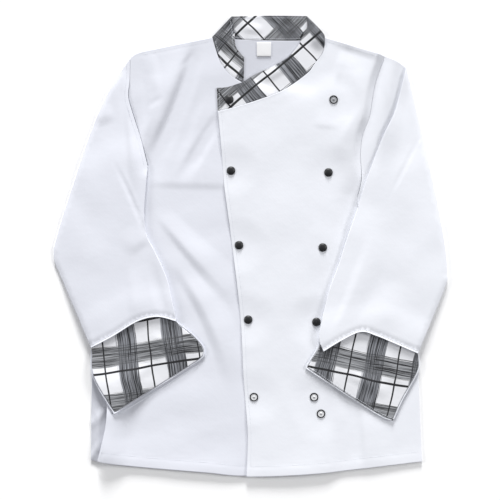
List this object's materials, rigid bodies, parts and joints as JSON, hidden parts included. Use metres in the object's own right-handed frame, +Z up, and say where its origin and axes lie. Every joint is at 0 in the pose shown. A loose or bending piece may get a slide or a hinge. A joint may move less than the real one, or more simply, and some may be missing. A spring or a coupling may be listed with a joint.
{
  "type": "chef jacket",
  "caption": "Long-sleeved double-breasted work jacket in twill, laid flat, with printed stand collar and opened-out cuffs, closed by snaps.",
  "frame": {"origin": "on the floor, under the middle of the jacket's outline", "axes": "+Y towards the collar, +X towards the wearer's left, +Z up, out of the jacket's front"},
  "size_m": [0.687, 0.8055, 0.0169],
  "materials": {
    "twill": "matt white polyester and cotton twill, pressed",
    "print": "matt cotton, printed with a grey and black check on white",
    "label": "smooth white woven satin",
    "dark_snap": "black enamel on pressed brass",
    "metal_snap": "nickel plate, slightly dulled"
  },
  "bodies": {
    "root": {"back_panel": "twill", "front_right": "twill", "front_left": "twill", "collar": "print", "neck_label": "label", "sleeve_right": "twill", "cuff_facing_right": "print", "sleeve_left": "twill", "cuff_facing_left": "print", "snap_collar": "dark_snap", "snap_column_edge_1": "dark_snap", "snap_column_edge_2": "dark_snap", "snap_column_edge_3": "dark_snap", "snap_column_edge_4": "metal_snap", "snap_column_chest_0": "dark_snap", "snap_column_chest_1": "dark_snap", "snap_column_chest_2": "dark_snap", "snap_column_chest_3": "dark_snap", "snap_column_chest_4": "metal_snap", "snap_column_chest_5": "metal_snap"}
  },
  "joints": []
}
